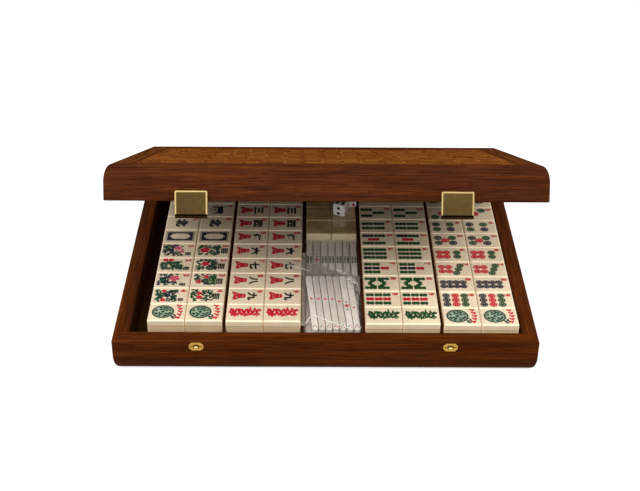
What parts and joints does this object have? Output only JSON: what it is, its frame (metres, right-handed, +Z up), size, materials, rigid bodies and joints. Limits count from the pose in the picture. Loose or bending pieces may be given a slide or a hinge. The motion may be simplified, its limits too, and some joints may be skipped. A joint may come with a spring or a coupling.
{
  "type": "mahjong case",
  "caption": "Flat hinged wooden case with lined compartments, holding tiles in two layers, dice and bagged counting sticks, with a latched parquet-topped lid shown part open.",
  "frame": {"origin": "middle of the case's underside, on the surface it stands on", "axes": "+X right along the case's length, +Y from the latches to the hinges, +Z up"},
  "size_m": [0.4, 0.3323, 0.1951],
  "materials": {
    "stained_hardwood": "satin lacquer over a red-brown stain",
    "plywood_board": "plain board",
    "parquet_veneer": "satin lacquered veneer in blocks of strips",
    "black_lining": "short flock",
    "divider_board": "thin board covered in black flock",
    "ivory_tiles": "polished two-tone tile plastic",
    "amber_tile_backs": "polished tile backs",
    "dice": "polished",
    "counting_sticks": "moulded",
    "clear_film": "thin clear film",
    "latch_brass": "polished and lacquered",
    "hinge_brass": "satin"
  },
  "bodies": {
    "base": {"base_front_wall": "stained_hardwood", "base_back_wall": "stained_hardwood", "base_left_wall": "stained_hardwood", "base_right_wall": "stained_hardwood", "base_floor": "plywood_board", "base_floor_lining": "black_lining", "base_wall_lining": "black_lining", "divider_far_left": "divider_board", "divider_near_left": "divider_board", "divider_near_right": "divider_board", "divider_far_right": "divider_board", "joker_tiles": "ivory_tiles", "flower_tiles": "ivory_tiles", "season_tiles": "ivory_tiles", "white_dragon_tiles": "ivory_tiles", "wind_tiles": "ivory_tiles", "red_dragon_tiles": "ivory_tiles", "character_tiles": "ivory_tiles", "green_dragon_tiles": "ivory_tiles", "bamboo_tiles": "ivory_tiles", "circle_tiles": "ivory_tiles", "blank_tiles": "amber_tile_backs", "die_front": "dice", "die_back": "dice", "sticks_front_pile": "counting_sticks", "sticks_loose_layers": "counting_sticks", "sticks_rear_pile": "counting_sticks", "bag_front": "clear_film", "bag_rear": "clear_film", "catch_left_plate": "latch_brass", "catch_right_plate": "latch_brass", "catch_brads": "latch_brass", "hinge_left_base_leaf": "hinge_brass", "hinge_right_base_leaf": "hinge_brass", "hinge_left_pin": "hinge_brass", "hinge_right_pin": "hinge_brass", "base_hinge_screws": "hinge_brass"},
    "lid": {"lid_front_wall": "stained_hardwood", "lid_back_wall": "stained_hardwood", "lid_left_wall": "stained_hardwood", "lid_right_wall": "stained_hardwood", "lid_board": "plywood_board", "lid_inlay": "parquet_veneer", "lid_board_lining": "black_lining", "lid_wall_lining": "black_lining", "hinge_left_lid_leaf": "hinge_brass", "hinge_right_lid_leaf": "hinge_brass", "lid_hinge_screws": "hinge_brass", "latch_left_bracket": "latch_brass", "latch_right_bracket": "latch_brass", "latch_left_pin": "latch_brass", "latch_right_pin": "latch_brass", "latch_screws": "latch_brass"},
    "left_latch_flap": {"latch_left_flap": "latch_brass"},
    "right_latch_flap": {"latch_right_flap": "latch_brass"}
  },
  "joints": [
    {"name": "lid_hinge", "type": "hinge", "parent": "base", "child": "lid", "pos_m": [0, 0.16255, 0.0344], "axis": [-1, 0, 0], "range_deg": [-24.4, 155.6]},
    {"name": "left_latch_pivot", "type": "hinge", "parent": "lid", "child": "left_latch_flap", "pos_m": [-0.121, -0.13014, 0.1765], "axis": [-1, 0, 0], "range_deg": [0, 100]},
    {"name": "right_latch_pivot", "type": "hinge", "parent": "lid", "child": "right_latch_flap", "pos_m": [0.117, -0.13014, 0.1765], "axis": [-1, 0, 0], "range_deg": [0, 100]}
  ]
}
